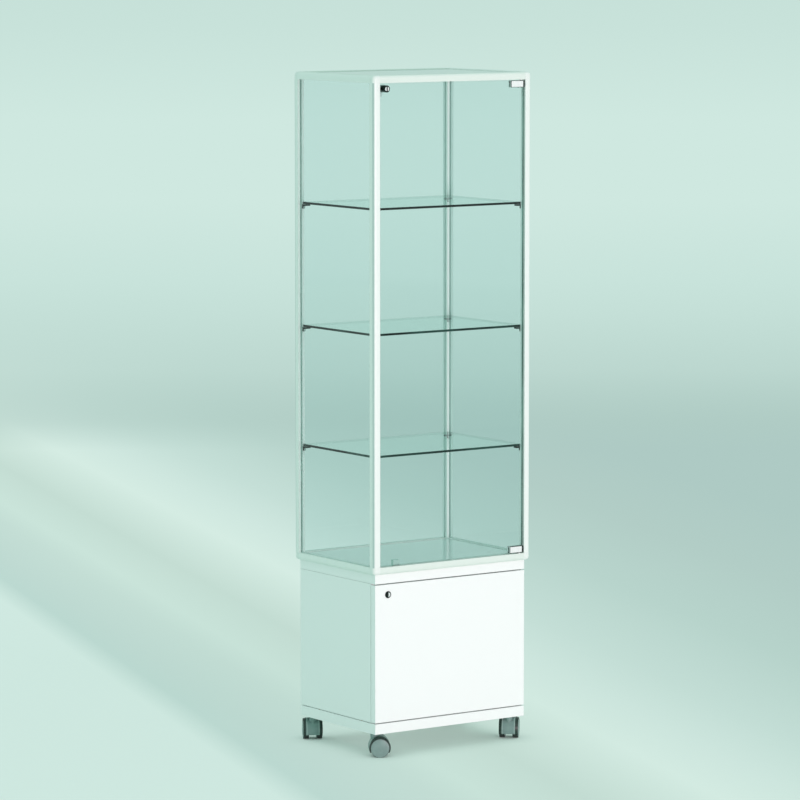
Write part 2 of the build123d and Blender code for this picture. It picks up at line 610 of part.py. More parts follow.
top_board -= block(
    (BASE_LOCK_X - KEEP_HALF_LENGTH, BASE_LOCK_X + KEEP_HALF_LENGTH),
    (cam_back - KEEP_PLAY, cam_back + CAM_THICKNESS + KEEP_PLAY),
    (BASE_CEILING - 1, BASE_CEILING + KEEP_DEPTH),
)
nodes["base_top_board"] = top_board

# Castors: a stem screwed up into the bottom board, a hood that swivels on it, an axle and two wheels
stems = []
wheel_names = ((1, "wheel_a"), (-1, "wheel_b"))
for name, turn in CASTOR_TURNS.items():
    x = CASTOR_X if name.endswith("right") else -CASTOR_X
    y = CASTOR_BACK_Y if name.startswith("back") else CASTOR_FRONT_Y
    place = castor_place(x, y, turn)
    stem = rod("z", (x, y), PINTLE_RADIUS, PINTLE_BOTTOM + 1, BASE_BOTTOM)
    stem += rod("z", (x, y), STEM_FLANGE_RADIUS, BASE_BOTTOM - STEM_FLANGE, BASE_BOTTOM)
    thread = rod("z", (x, y), STEM_RADIUS, BASE_BOTTOM, BASE_BOTTOM + STEM_HEIGHT)
    bottom_board -= thread
    stems.append(stem + thread)
    nodes[f"castor_{name}_hood"] = place * castor_hood()
    axle = rod("x", (-CASTOR_TRAIL, WHEEL_RADIUS), AXLE_RADIUS, -AXLE_HALF, AXLE_HALF)
    nodes[f"castor_{name}_axle"] = place * axle
    for side, label in wheel_names:
        nodes[f"castor_{name}_{label}"] = place * castor_wheel(side)
nodes["castor_stems"] = stems
nodes["base_bottom_board"] = bottom_board

os.makedirs("parts", exist_ok=True)
for name, shape in nodes.items():
    solids = shape if isinstance(shape, list) else [shape]
    flat = [solid for item in solids for solid in item.solids()]
    whole = flat[0] if len(flat) == 1 else Compound(children=flat)
    whole.label = name
    export_step(whole, f"parts/{name}.step")
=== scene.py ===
import math

import bmesh
import bpy
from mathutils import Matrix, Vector


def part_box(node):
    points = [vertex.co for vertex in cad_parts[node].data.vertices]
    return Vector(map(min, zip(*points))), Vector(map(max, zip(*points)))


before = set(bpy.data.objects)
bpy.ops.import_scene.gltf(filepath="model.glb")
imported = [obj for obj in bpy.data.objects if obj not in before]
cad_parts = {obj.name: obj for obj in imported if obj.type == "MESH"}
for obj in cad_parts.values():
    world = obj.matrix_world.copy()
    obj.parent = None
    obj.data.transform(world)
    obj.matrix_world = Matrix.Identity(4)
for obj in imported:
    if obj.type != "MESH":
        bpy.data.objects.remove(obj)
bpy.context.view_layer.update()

# Camera of the product shot
# A long lens far off and a little above the cabinet's top, turned so that the front shows wider than the
# side. Its rays may pass as many glass faces as stand behind one another in the showcase.
SHOT_TURN = math.radians(35.0754)
SHOT_DOWN = math.radians(6.3524)
SHOT_LENS_MM = 194.1
SHOT_SENSOR_MM = 36.0
SHOT_PLACE = Vector((-6.6282, -9.3772, 2.2007))
SHOT_NEAR = 0.1
SHOT_FAR = 200.0
GLASS_LAYERS = 32

camera_data = bpy.data.cameras.new("shot_camera")
camera_data.lens = SHOT_LENS_MM
camera_data.sensor_width = SHOT_SENSOR_MM
camera_data.clip_start = SHOT_NEAR
camera_data.clip_end = SHOT_FAR
camera = bpy.data.objects.new("shot_camera", camera_data)
camera.location = SHOT_PLACE
camera.rotation_euler = (math.pi / 2 - SHOT_DOWN, 0.0, -SHOT_TURN)
bpy.context.scene.collection.objects.link(camera)
bpy.context.scene.camera = camera
bpy.context.scene.view_settings.view_transform = "Standard"
bpy.context.scene.cycles.transparent_max_bounces = GLASS_LAYERS

# Studio: painted floor that sweeps up into a wall
# One seamless sheet of matt pale paint. Soft window light lies across it in a slanted band, and the wall is
# darkest at its foot; both are painted light, drawn as tones of the paint, and the cabinet's own shade
# darkens the flat part under its boards and castors.
SWEEP_HALF_WIDTH = 14.0
SWEEP_FRONT = -16.0
SWEEP_WALL = 8.5
SWEEP_RADIUS = 1.2
SWEEP_HEIGHT = 9.0
SWEEP_STEPS = 16
WALL_BEGINS = 6.4
WALL_WHOLE = 8.2
BAND_SLANT = 3.2
BAND_FROM = -2.0
BAND_TO = 9.0
FLOOR_GLOW_FROM = 0.9
FLOOR_GLOW_TO = 3.0
FLOOR_GLOW_LEAST = 0.88
CONTACT_SHADE_REACH = 0.09
CONTACT_SHADE_SAMPLES = 8
FLOOR_PAINT_ROUGHNESS = 0.75
WALL_TONE_HEIGHT = 2.2
# Painted light: the slanted window band's tones, where the floor glows for the camera, mirrors and glass.
FLOOR_TONES = [(0.012, "#D1EAE2"), (0.043, "#BCD9D1"), (0.075, "#BFDAD2"), (0.13, "#C4DED5"),
               (0.165, "#CAE4DA"), (0.235, "#C4DDD3"), (0.335, "#D5ECE3"), (0.40, "#CFE7DF"),
               (0.48, "#C5DFD7"), (0.63, "#B8D4CC"), (0.80, "#B2CDC6"), (1.0, "#AECAC4")]
# Painted light: the same band in the paint's own colour, where the lamps light it.
FLOOR_PAINTS = [(0.02, "#DFEDE7"), (0.13, "#D5E4DD"), (0.235, "#D6E4DD"), (0.335, "#E9F5EF"),
                (0.40, "#E2EFE9"), (0.48, "#D9E7E1"), (0.63, "#CDDCD5"), (0.80, "#C6D6CF"), (1.0, "#C1D2CB")]
# Painted light on the wall: darkest at its foot, brightest at mid-height.
WALL_TONES = [(0.0, "#B1CDC5"), (0.08, "#BED9D1"), (0.25, "#C8E3DB"), (0.41, "#CFE8E0"),
              (0.58, "#CFE8E0"), (0.78, "#C8E2DA"), (1.0, "#C4DFD7")]


def linear(hex_colour):
    """An sRGB hex colour as linear RGBA."""
    values = [int(hex_colour[i:i + 2], 16) / 255 for i in (1, 3, 5)]
    return [v / 12.92 if v <= 0.04045 else ((v + 0.055) / 1.055) ** 2.4 for v in values] + [1.0]


def node(tree, kind, settings=None, **inputs):
    """Adds a node. Settings are its properties, or a ramp's stops; inputs go by name or by i and number."""
    made = tree.nodes.new("ShaderNode" + kind)
    for key, value in (settings or {}).items():
        if key == "stops":
            elements = made.color_ramp.elements
            elements[0].position, elements[0].color = value[0][0], linear(value[0][1])
            elements[1].position, elements[1].color = value[-1][0], linear(value[-1][1])
            for position, colour in value[1:-1]:
                elements.new(position).color = linear(colour)
        else:
            setattr(made, key, value)
    for key, value in inputs.items():
        by_number = key[0] == "i" and key[1:].isdigit()
        socket = made.inputs[int(key[1:])] if by_number else made.inputs[key.replace("_", " ")]
        if isinstance(value, bpy.types.NodeSocket):
            tree.links.new(value, socket)
        else:
            socket.default_value = value
    return made


def new_material(name):
    """An empty node material, its tree and its output node."""
    material = bpy.data.materials.new(name)
    material.use_nodes = True
    material.node_tree.nodes.clear()
    return material, material.node_tree, material.node_tree.nodes.new("ShaderNodeOutputMaterial")


profile = [(SWEEP_FRONT, 0.0)]
for step in range(SWEEP_STEPS + 1):
    angle = math.pi / 2 * step / SWEEP_STEPS
    away = SWEEP_WALL - SWEEP_RADIUS + SWEEP_RADIUS * math.sin(angle)
    profile.append((away, SWEEP_RADIUS * (1 - math.cos(angle))))
profile.append((SWEEP_WALL, SWEEP_HEIGHT))
shot_along = Vector((math.sin(SHOT_TURN), math.cos(SHOT_TURN), 0.0))
shot_across = Vector((math.cos(SHOT_TURN), -math.sin(SHOT_TURN), 0.0))
sweep_mesh = bmesh.new()
rows = []
for away, height in profile:
    centre = shot_along * away + Vector((0.0, 0.0, height))
    ends = (-SWEEP_HALF_WIDTH, SWEEP_HALF_WIDTH)
    rows.append([sweep_mesh.verts.new(centre + shot_across * side) for side in ends])
for lower, upper in zip(rows, rows[1:]):
    face = sweep_mesh.faces.new((lower[0], lower[1], upper[1], upper[0]))
    face.smooth = True
sweep_data = bpy.data.meshes.new("studio_sweep")
sweep_mesh.to_mesh(sweep_data)
sweep_mesh.free()
sweep = bpy.data.objects.new("studio_sweep", sweep_data)
bpy.context.scene.collection.objects.link(sweep)

paint, tree, output = new_material("matt_pale_studio_paint")
position = node(tree, "NewGeometry").outputs["Position"]
slanted = tuple(shot_along + shot_across * BAND_SLANT)
along = node(tree, "VectorMath", {"operation": "DOT_PRODUCT"}, i0=position, i1=tuple(shot_along))
band = node(tree, "VectorMath", {"operation": "DOT_PRODUCT"}, i0=position, i1=slanted)
band_share = node(tree, "MapRange", Value=band.outputs["Value"], From_Min=BAND_FROM, From_Max=BAND_TO)
floor_tone = node(tree, "ValToRGB", {"stops": FLOOR_TONES}, i0=band_share.outputs[0])
floor_paint_tone = node(tree, "ValToRGB", {"stops": FLOOR_PAINTS}, i0=band_share.outputs[0])
floor_paint = node(tree, "BsdfPrincipled", Base_Color=floor_paint_tone.outputs[0],
                   Roughness=FLOOR_PAINT_ROUGHNESS)
height = node(tree, "SeparateXYZ", i0=position).outputs["Z"]
wall_share = node(tree, "MapRange", Value=height, From_Min=0.0, From_Max=WALL_TONE_HEIGHT)
wall_tone = node(tree, "ValToRGB", {"stops": WALL_TONES}, i0=wall_share.outputs[0])
is_wall = node(tree, "MapRange", Value=along.outputs["Value"], From_Min=WALL_BEGINS, From_Max=WALL_WHOLE)
tone = node(tree, "Mix", {"data_type": "RGBA"}, i0=is_wall.outputs[0], i6=floor_tone.outputs[0],
            i7=wall_tone.outputs[0])
glow = node(tree, "Emission", Color=tone.outputs[2], Strength=1.0)
path = node(tree, "LightPath")
mirrored = node(tree, "Math", {"operation": "MAXIMUM"}, i0=path.outputs["Is Camera Ray"],
                i1=path.outputs["Is Glossy Ray"])
seen = node(tree, "Math", {"operation": "MAXIMUM"}, i0=mirrored.outputs[0],
            i1=path.outputs["Is Transmission Ray"])
far_share = node(tree, "MapRange", Value=along.outputs["Value"], From_Min=FLOOR_GLOW_FROM,
                 From_Max=FLOOR_GLOW_TO, To_Min=FLOOR_GLOW_LEAST)
near_things = node(tree, "AmbientOcclusion", {"samples": CONTACT_SHADE_SAMPLES},
                   Distance=CONTACT_SHADE_REACH)
open_share = node(tree, "Math", {"operation": "MULTIPLY"}, i0=near_things.outputs["AO"],
                  i1=far_share.outputs[0])
glow_share = node(tree, "Math", {"operation": "MULTIPLY"}, i0=seen.outputs[0], i1=open_share.outputs[0])
paint_mix = node(tree, "MixShader", i0=glow_share.outputs[0], i1=floor_paint.outputs[0], i2=glow.outputs[0])
tree.links.new(paint_mix.outputs[0], output.inputs["Surface"])
sweep_data.materials.append(paint)

# Studio light: a mint-white room and a key lamp straight in front
# The room gives the even green shade on the side and top, and the key lamp the near-white front. The lamp
# is a little pink, so that the front stays neutral in the green room.
ROOM_COLOUR = "#C5DDD8"
ROOM_STRENGTH = 1.08
KEY_PLACE = (-0.22, -6.0, 1.0)
KEY_AIM = (0.0, 0.0, 0.85)
KEY_SIZE = 0.7
KEY_WATTS = 151.0
KEY_COLOUR = "#FFD1E1"

world = bpy.data.worlds.new("mint_room")
bpy.context.scene.world = world
world.use_nodes = True
world.node_tree.nodes["Background"].inputs["Color"].default_value = linear(ROOM_COLOUR)
world.node_tree.nodes["Background"].inputs["Strength"].default_value = ROOM_STRENGTH
key_data = bpy.data.lights.new("key_softbox", "AREA")
key_data.energy = KEY_WATTS
key_data.shape = "SQUARE"
key_data.size = KEY_SIZE
key_data.color = linear(KEY_COLOUR)[:3]
key = bpy.data.objects.new("key_softbox", key_data)
key.location = KEY_PLACE
key.rotation_euler = (Vector(KEY_AIM) - Vector(KEY_PLACE)).to_track_quat("-Z", "Y").to_euler()
bpy.context.scene.collection.objects.link(key)

# White powder-coated aluminium: posts, rails and cast corners
# Extruded square tube with one round edge, joined by pressed-in cast corners. The satin coat has a faint
# orange-peel skin and rounded arrises. Painted shade runs as a dark band where the posts' round edge turns
# to the side, darkens every rail face that does not turn to the side, and tones down the cast corners.
COAT_COLOUR = "#EFF8F3"
# Painted shade: rail faces that do not turn to the side, and the cast corners, are darker than the coat.
RAIL_SHADED_FACE_COLOUR = "#E3F0E8"
CORNER_SHADED_COLOUR = "#ECF5F0"
# Painted shade: a dark band where the posts' round edge turns to the side.
ROUND_EDGE_SHADE_COLOUR = "#B4CCC6"
POST_STOPS = [(0.62, COAT_COLOUR), (0.70, ROUND_EDGE_SHADE_COLOUR), (0.97, ROUND_EDGE_SHADE_COLOUR), (0.99, COAT_COLOUR)]
RAIL_STOPS = [(0.2, RAIL_SHADED_FACE_COLOUR), (0.8, COAT_COLOUR)]
CORNER_STOPS = [(0.0, CORNER_SHADED_COLOUR), (1.0, CORNER_SHADED_COLOUR)]
COAT_PEEL_MM = 1.6
COAT_PEEL_STRENGTH = 0.08
COAT_DRIFT_MM = 200.0
COAT_ARRIS_MM = 0.6
ARRIS_SAMPLES = 4
SKIN_DEPTH_MM = 0.2


def dress(names, material):
    """Gives CAD nodes a material in every slot."""
    for name in names:
        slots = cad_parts[name].data.materials
        if len(slots) == 0:
            slots.append(material)
        for index in range(len(slots)):
            slots[index] = material


def eased_skin(tree, texture, strength, arris_mm):
    """A shallow surface texture, over arrises that are rounded by arris_mm."""
    arris = node(tree, "Bevel", {"samples": ARRIS_SAMPLES}, Radius=arris_mm / 1000)
    return node(tree, "Bump", Strength=strength, Distance=SKIN_DEPTH_MM / 1000, Height=texture.outputs[0],
                Normal=arris.outputs[0])


def powder_coat(name, stops):
    """Satin white powder coat with an orange-peel skin and painted shade, set by how far a face turns to the
    side.
    """
    material, tree, output = new_material(name)
    coordinates = node(tree, "TexCoord")
    place = coordinates.outputs["Object"]
    peel = node(tree, "TexNoise", Vector=place, Scale=1000.0 / COAT_PEEL_MM, Detail=2.0)
    drift = node(tree, "TexNoise", Vector=place, Scale=1000.0 / COAT_DRIFT_MM, Detail=2.0)
    rough = node(tree, "MapRange", Value=drift.outputs[0], To_Min=0.30, To_Max=0.40)
    skin = eased_skin(tree, peel, COAT_PEEL_STRENGTH, COAT_ARRIS_MM)
    normal = node(tree, "SeparateXYZ", i0=coordinates.outputs["Normal"])
    turned = node(tree, "Math", {"operation": "ABSOLUTE"}, i0=normal.outputs["X"])
    tone = node(tree, "ValToRGB", {"stops": stops}, i0=turned.outputs[0])
    coat = node(tree, "BsdfPrincipled", Base_Color=tone.outputs[0], Roughness=rough.outputs[0],
                Normal=skin.outputs[0])
    tree.links.new(coat.outputs[0], output.inputs["Surface"])
    return material


POSTS = ("post_front_left", "post_front_right", "post_back_left", "post_back_right")
dress(POSTS, powder_coat("white_post_coat", POST_STOPS))
dress(("top_rails", "bottom_rails"), powder_coat("white_rail_coat", RAIL_STOPS))
dress(("corner_joints",), powder_coat("white_corner_coat", CORNER_STOPS))

# White melamine boards: base cupboard, its door and the showcase's top panel
# Faced chipboard with edge banding, pressed with a very fine pearl texture that dulls its gloss. The
# banded edges are eased by hand, and the showcase floor is a glossier white laminate, painted grey-green as
# painted shade.
BOARD_COLOUR = "#F8FDFB"
TOP_COLOUR = "#EEF6F2"
# Painted shade: the showcase floor's white laminate drawn grey-green.
SHADED_FLOOR_LAMINATE_COLOUR = "#D6E6E1"
PEARL_MM = 2.2
PEARL_STRENGTH = 0.06
BOARD_CLOUD_MM = 333.3
BOARD_ARRIS_MM = 0.8
BOARD_ROUGHNESS_DRIFT = 0.03


def melamine(name, colour, roughness):
    """White melamine facing with a fine pressed pearl texture."""
    material, tree, output = new_material(name)
    place = node(tree, "TexCoord").outputs["Object"]
    pearl = node(tree, "TexNoise", Vector=place, Scale=1000.0 / PEARL_MM, Detail=3.0)
    cloud = node(tree, "TexNoise", Vector=place, Scale=1000.0 / BOARD_CLOUD_MM, Detail=2.0)
    rough = node(tree, "MapRange", Value=cloud.outputs[0], To_Min=roughness - BOARD_ROUGHNESS_DRIFT,
                 To_Max=roughness + BOARD_ROUGHNESS_DRIFT)
    skin = eased_skin(tree, pearl, PEARL_STRENGTH, BOARD_ARRIS_MM)
    face = node(tree, "BsdfPrincipled", Base_Color=linear(colour), Roughness=rough.outputs[0],
                Normal=skin.outputs[0])
    tree.links.new(face.outputs[0], output.inputs["Surface"])
    return material


BOARDS = ("base_top_board", "base_bottom_board", "base_left_side", "base_right_side", "base_back",
          "cupboard_door")
dress(BOARDS, melamine("white_melamine", BOARD_COLOUR, roughness=0.38))
dress(("top_panel",), melamine("white_top_melamine", TOP_COLOUR, roughness=0.32))
dress(("showcase_floor",),
      melamine("shade_painted_floor_laminate", SHADED_FLOOR_LAMINATE_COLOUR, roughness=0.16))

# Beech dowels inside the boards
# Turned pins, glued into the side boards, the top and the bottom, with the wood's grain along the pin.
GRAIN_WIDTH_MM = 1.111
GRAIN_LENGTH_MM = 16.67
BEECH_TONES = [(0.3, "#B98F62"), (0.7, "#D3B083")]

beech, tree, output = new_material("beech")
place = node(tree, "TexCoord").outputs["Object"]
across_grain = 1000.0 / GRAIN_WIDTH_MM
along_grain = 1000.0 / GRAIN_LENGTH_MM
grain_place = node(tree, "Mapping", Vector=place, Scale=(across_grain, across_grain, along_grain))
grain = node(tree, "TexNoise", Vector=grain_place.outputs[0], Scale=1.0, Detail=3.0)
grain_colour = node(tree, "ValToRGB", {"stops": BEECH_TONES}, i0=grain.outputs[0])
pin = node(tree, "BsdfPrincipled", Base_Color=grain_colour.outputs[0], Roughness=0.6)
tree.links.new(pin.outputs[0], output.inputs["Surface"])
dress(("base_dowels",), beech)

# Clear float glass: three fixed panes, the door and the shelves
# Cut from flat sheet, with ground and polished edges. The faces let nearly everything through and mirror the
# room at grazing angles. The edges show the glass's own green, painted lighter or darker for each set of
# panes as painted light and shade, nearly black on the shelves, with lighter streaks of painted highlight.
GLASS_IOR = 1.52
PANE_THROUGH = "#F9FCFC"
SHELF_THROUGH = "#F6FBFA"
MIRROR_COLOUR = "#F4FBF9"
EDGE_TURN = 0.7
EDGE_STREAK_MM = 142.86
# Painted light and shade: each set of edges has its own tones, in streaks of painted highlight.
PANE_EDGES = [(0.45, "#9CC1B8"), (0.62, "#B4D3CB")]
DOOR_EDGES = [(0.45, "#3F655C"), (0.62, "#6A9187")]
# The top shelf's edges are painted dark as shade; the lower shelves' carry painted highlights.
DARK_SHELF_EDGES = [(0.40, "#000201"), (0.60, "#010605")]
LIT_SHELF_EDGES = [(0.44, "#010605"), (0.62, "#274840")]


def float_glass(name, through, edge_axis, edge_stops, mirror_share=1.0, far_edges=1.0):
    """Clear glass whose narrow faces, turned away from edge_axis, are its dark edges.

    mirror_share is the strength of its reflection; far_edges is how much an edge shows through the glass.
    """
    material, tree, output = new_material(name)
    material.surface_render_method = "BLENDED"
    clear = node(tree, "BsdfTransparent", Color=linear(through))
    mirror = node(tree, "BsdfGlossy", Color=linear(MIRROR_COLOUR), Roughness=0.02)
    fresnel = node(tree, "Fresnel", IOR=GLASS_IOR)
    inside = node(tree, "NewGeometry").outputs["Backfacing"]
    outer = node(tree, "Math", {"operation": "SUBTRACT"}, i0=mirror_share, i1=inside)
    front = node(tree, "Math", {"operation": "MAXIMUM"}, i0=outer.outputs[0], i1=0.0)
    shine = node(tree, "Math", {"operation": "MULTIPLY"}, i0=fresnel.outputs[0], i1=front.outputs[0])
    faces = node(tree, "MixShader", i0=shine.outputs[0], i1=clear.outputs[0], i2=mirror.outputs[0])
    coordinates = node(tree, "TexCoord")
    normal = node(tree, "SeparateXYZ", i0=coordinates.outputs["Normal"])
    flat = node(tree, "Math", {"operation": "ABSOLUTE"}, i0=normal.outputs[edge_axis])
    is_edge = node(tree, "Math", {"operation": "LESS_THAN"}, i0=flat.outputs[0], i1=EDGE_TURN)
    shown = node(tree, "MapRange", Value=inside, To_Min=1.0, To_Max=far_edges)
    edge_share = node(tree, "Math", {"operation": "MULTIPLY"}, i0=is_edge.outputs[0], i1=shown.outputs[0])
    streak = node(tree, "TexNoise", Vector=coordinates.outputs["Object"], Scale=1000.0 / EDGE_STREAK_MM,
                  Detail=1.0)
    edge_tone = node(tree, "ValToRGB", {"stops": edge_stops}, i0=streak.outputs[0])
    side = node(tree, "BsdfPrincipled", Base_Color=edge_tone.outputs[0], Roughness=0.3,
                Specular_IOR_Level=0.05)
    whole = node(tree, "MixShader", i0=edge_share.outputs[0], i1=faces.outputs[0], i2=side.outputs[0])
    tree.links.new(whole.outputs[0], output.inputs["Surface"])
    return material


dress(("left_pane", "right_pane"), float_glass("clear_side_glass", PANE_THROUGH, "X", PANE_EDGES))
dress(("back_pane",), float_glass("clear_back_glass", PANE_THROUGH, "Y", PANE_EDGES))
dress(("glass_door_pane",), float_glass("clear_door_glass", PANE_THROUGH, "Y", DOOR_EDGES))
dress(("shelf_top",),
      float_glass("clear_top_shelf_glass", SHELF_THROUGH, "Z", DARK_SHELF_EDGES,
                  mirror_share=0.8, far_edges=0.15))
dress(("shelf_middle", "shelf_bottom"),
      float_glass("clear_lower_shelf_glass", SHELF_THROUGH, "Z", LIT_SHELF_EDGES,
                  mirror_share=0.8, far_edges=0.15))

# Small steel hardware: shelf clips, screws, bolts, pins, nut and castor stems
# Pressed and turned steel with bright zinc plate, faintly clouded by its passivation bath. The locks' cams
# are paler, and the shelf clips are blackened nickel.
ZINC_COLOUR = "#B9C4C1"
CAM_COLOUR = "#D6E2DE"
CLIP_COLOUR = "#0E1A17"
PLATE_CLOUD_MM = 4.5455


def plated_steel(name, colour, roughness):
    """Plated steel with a slightly cloudy shine."""
    material, tree, output = new_material(name)
    place = node(tree, "TexCoord").outputs["Object"]
    cloud = node(tree, "TexNoise", Vector=place, Scale=1000.0 / PLATE_CLOUD_MM, Detail=3.0)
    rough = node(tree, "MapRange", Value=cloud.outputs[0], To_Min=roughness * 0.8,
                 To_Max=roughness * 1.25)
    metal = node(tree, "BsdfPrincipled", Base_Color=linear(colour), Metallic=1.0,
                 Roughness=rough.outputs[0])
    tree.links.new(metal.outputs[0], output.inputs["Surface"])
    return material


zinc = plated_steel("bright_zinc_plate", ZINC_COLOUR, roughness=0.30)
dress(("shelf_clip_screws", "frame_bolts", "hinge_screws", "castor_stems", "cupboard_pivot_pins",
       "hinge_pins", "glass_lock_nut"), zinc)
dress(("glass_lock_cam", "cupboard_lock_cam"),
      plated_steel("zinc_cam_steel", CAM_COLOUR, roughness=0.36))
dress(("shelf_clips",), plated_steel("dark_nickel_clip", CLIP_COLOUR, roughness=0.34))

# Pivot hinge clamps of the glass door
# Two satin-chromed plates, screwed together, clamp the glass at each pivot. Their faces are painted nearly
# white as a painted sheen; a painted dark reflection on the bevels and painted shade at the pivot end draw a
# thin dark line round the bright face.
# The faces are painted nearly white as a painted sheen.
HINGE_COLOUR = "#FBFEFD"
# Painted dark reflection on the bevels and painted shade at the pivot end.
HINGE_PAINTED_DARK_COLOUR = "#27322F"
HINGE_SHADED_END_MM = 4.5
HINGE_FLAT_TURN = 0.9
BRUSH_WIDTH_MM = 0.41667
BRUSH_LENGTH_MM = 11.111
BRUSH_ROUGHNESS_DRIFT = 0.08


def clamp_chrome(name, face_colour, painted_dark_colour, roughness):
    """Satin chrome painted nearly white as a sheen on the faces and the glass end; painted dark reflection
    on the bevels and painted shade at the pivot end.
    """
    material, tree, output = new_material(name)
    coordinates = node(tree, "TexCoord")
    normal = node(tree, "SeparateXYZ", i0=coordinates.outputs["Normal"])
    facing = node(tree, "Math", {"operation": "ABSOLUTE"}, i0=normal.outputs["Y"])
    ending = node(tree, "Math", {"operation": "ABSOLUTE"}, i0=normal.outputs["X"])
    flat = node(tree, "Math", {"operation": "MAXIMUM"}, i0=facing.outputs[0], i1=ending.outputs[0])
    brush_scale = (1000.0 / BRUSH_LENGTH_MM, 1000.0 / BRUSH_LENGTH_MM, 1000.0 / BRUSH_WIDTH_MM)
    brushing = node(tree, "Mapping", Vector=coordinates.outputs["Object"], Scale=brush_scale)
    lines = node(tree, "TexNoise", Vector=brushing.outputs[0], Scale=1.0, Detail=2.0)
    rough = node(tree, "MapRange", Value=lines.outputs[0], To_Min=roughness - BRUSH_ROUGHNESS_DRIFT,
                 To_Max=roughness + BRUSH_ROUGHNESS_DRIFT)
    is_flat = node(tree, "Math", {"operation": "GREATER_THAN"}, i0=flat.outputs[0], i1=HINGE_FLAT_TURN)
    across = node(tree, "SeparateXYZ", i0=coordinates.outputs["Object"]).outputs["X"]
    pivot_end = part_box("hinge_outer_plates")[1][0] - HINGE_SHADED_END_MM / 1000
    before_end = node(tree, "Math", {"operation": "LESS_THAN"}, i0=across, i1=pivot_end)
    is_face = node(tree, "Math", {"operation": "MULTIPLY"}, i0=is_flat.outputs[0], i1=before_end.outputs[0])
    face = node(tree, "BsdfPrincipled", Base_Color=linear(face_colour), Metallic=0.35,
                Roughness=rough.outputs[0])
    edge = node(tree, "BsdfPrincipled", Base_Color=linear(painted_dark_colour), Metallic=1.0, Roughness=0.2)
    whole = node(tree, "MixShader", i0=is_face.outputs[0], i1=edge.outputs[0], i2=face.outputs[0])
    tree.links.new(whole.outputs[0], output.inputs["Surface"])
    return material


dress(("hinge_outer_plates", "hinge_inner_plates"),
      clamp_chrome("satin_chrome_clamp", HINGE_COLOUR, HINGE_PAINTED_DARK_COLOUR, roughness=0.42))

# Cam locks of the glass door and the cupboard door
# Round chrome heads that stand proud of the doors, each a turned sleeve with a polished barrel. The sleeves
# are painted dark as painted shade; the glass door's barrel shows its dark keyway between bands of painted
# reflection, and the cupboard's carries a painted reflection of a dark and a bright half of the room.
# Painted shade on the lock sleeves.
SLEEVE_SHADE_COLOUR = "#2C3735"
FACE_DARK = "#0E1615"
FACE_BRIGHT = "#F1F6F4"
# A dark keyway between bands of painted reflection.
SLOT_AND_SHEEN_STOPS = [(0.0, FACE_BRIGHT), (0.30, FACE_BRIGHT), (0.38, FACE_DARK), (0.62, FACE_DARK),
              (0.70, FACE_BRIGHT)]
# Painted reflection of a dark and a bright half of the room.
PAINTED_REFLECTION_STOPS = [(0.0, FACE_DARK), (0.42, FACE_DARK), (0.56, FACE_BRIGHT)]


def lock_face(name, lock_node, stops):
    """Polished barrel face, shaded from left to right by its stops, which paint its reflection and any
    keyway.
    """
    low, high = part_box(lock_node)
    middle = (low[0] + high[0]) / 2
    half = (high[0] - low[0]) / 2
    material, tree, output = new_material(name)
    place = node(tree, "TexCoord").outputs["Object"]
    across = node(tree, "SeparateXYZ", i0=place).outputs["X"]
    share = node(tree, "MapRange", Value=across, From_Min=middle - half, From_Max=middle + half)
    tone = node(tree, "ValToRGB", {"stops": stops}, i0=share.outputs[0])
    face = node(tree, "BsdfPrincipled", Base_Color=tone.outputs[0], Metallic=0.3, Roughness=0.3)
    tree.links.new(face.outputs[0], output.inputs["Surface"])
    return material


dress(("glass_lock_sleeve", "cupboard_lock_sleeve"),
      plated_steel("shaded_chrome_sleeve", SLEEVE_SHADE_COLOUR, roughness=0.16))
dress(("glass_lock_barrel",), lock_face("polished_glass_lock_face", "glass_lock_barrel", SLOT_AND_SHEEN_STOPS))
dress(("cupboard_lock_barrel",),
      lock_face("polished_cupboard_lock_face", "cupboard_lock_barrel", PAINTED_REFLECTION_STOPS))

# Clear plastics: pads under the shelves and in the hinges, and the door stop block
# Moulded soft vinyl pads and a cut acrylic block stuck to the rail, a little cloudier than the glass.
PAD_COLOUR = "#C8D8D3"
STOP_COLOUR = "#D8ECE6"
PLASTIC_LIGHT = "#E8F3EF"
PLASTIC_CLOUD_MM = 6.6667
PLASTIC_IOR = 1.49


def clear_plastic(name, colour, share, roughness):
    """Clear plastic with a soft shine; share is how much of it looks solid."""
    material, tree, output = new_material(name)
    material.surface_render_method = "BLENDED"
    clear = node(tree, "BsdfTransparent", Color=linear(colour))
    place = node(tree, "TexCoord").outputs["Object"]
    cloud = node(tree, "TexNoise", Vector=place, Scale=1000.0 / PLASTIC_CLOUD_MM, Detail=2.0)
    tint = node(tree, "ValToRGB", {"stops": [(0.3, colour), (0.7, PLASTIC_LIGHT)]}, i0=cloud.outputs[0])
    body = node(tree, "BsdfPrincipled", Base_Color=tint.outputs[0], Roughness=roughness,
                IOR=PLASTIC_IOR)
    whole = node(tree, "MixShader", i0=share, i1=clear.outputs[0], i2=body.outputs[0])
    tree.links.new(whole.outputs[0], output.inputs["Surface"])
    return material


dress(("shelf_pads", "hinge_glass_pads"),
      clear_plastic("clear_vinyl_pad", PAD_COLOUR, share=0.6, roughness=0.4))
dress(("door_stop",), clear_plastic("clear_acrylic_block", STOP_COLOUR, share=0.45, roughness=0.12))

# Castors: moulded nylon hoods and twin wheels on steel axles, and the white pivot bushes
# Injection-moulded nylon with a fine spark-eroded grain; the wheels are clipped onto the axles. Their faces
# are lighter than their treads, and each hood has a lighter panel with bright rims of painted highlight
# between two flanks of painted shade.
HOOD_HALF_WIDTH_MM = 26.0
